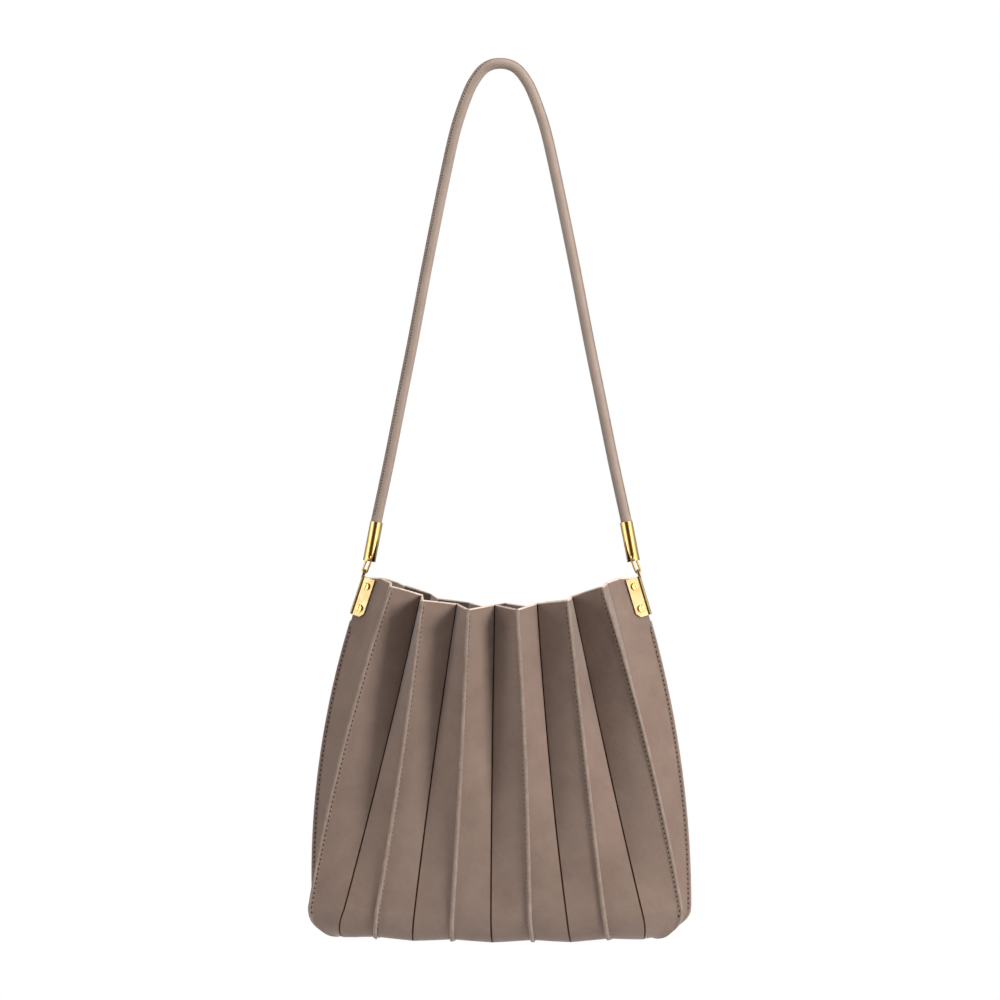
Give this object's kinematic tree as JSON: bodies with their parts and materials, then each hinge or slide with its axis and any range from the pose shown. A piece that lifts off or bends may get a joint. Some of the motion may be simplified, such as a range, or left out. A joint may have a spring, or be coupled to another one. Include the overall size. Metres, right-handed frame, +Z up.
{
  "type": "accordion shoulder bag",
  "caption": "Pleated leather shoulder bag with stitched accordion folds, a rolled strap, gold ferrules and clamp plates, hanging open by its strap.",
  "frame": {"origin": "underside of the strap's highest point, where the bag hangs", "axes": "+Z up, the front faces -Y, +X to the right when looking at the front"},
  "size_m": [0.2663, 0.1386, 0.6146],
  "materials": {
    "body_leather": "fine grained, satin",
    "strap_leather": "fine grained, satin",
    "polished_gold": "polished gold plate",
    "satin_gold": "satin gold plate"
  },
  "bodies": {
    "root": {"gore_front_1": "body_leather", "gore_front_2": "body_leather", "gore_front_3": "body_leather", "gore_front_4": "body_leather", "gore_front_5": "body_leather", "gore_front_6": "body_leather", "gore_front_7": "body_leather", "gore_back_1": "body_leather", "gore_back_2": "body_leather", "gore_back_3": "body_leather", "gore_back_4": "body_leather", "gore_back_5": "body_leather", "gore_back_6": "body_leather", "gore_back_7": "body_leather", "base": "body_leather", "strap": "strap_leather", "clamp_left": "satin_gold", "link_left": "polished_gold", "pin_left": "polished_gold", "ferrule_left": "polished_gold", "clamp_right": "satin_gold", "link_right": "polished_gold", "pin_right": "polished_gold", "ferrule_right": "polished_gold", "screw_left_front_upper": "satin_gold", "screw_left_front_lower": "satin_gold", "screw_left_back_upper": "satin_gold", "screw_left_back_lower": "satin_gold", "screw_right_front_upper": "satin_gold", "screw_right_front_lower": "satin_gold", "screw_right_back_upper": "satin_gold", "screw_right_back_lower": "satin_gold"}
  },
  "joints": []
}
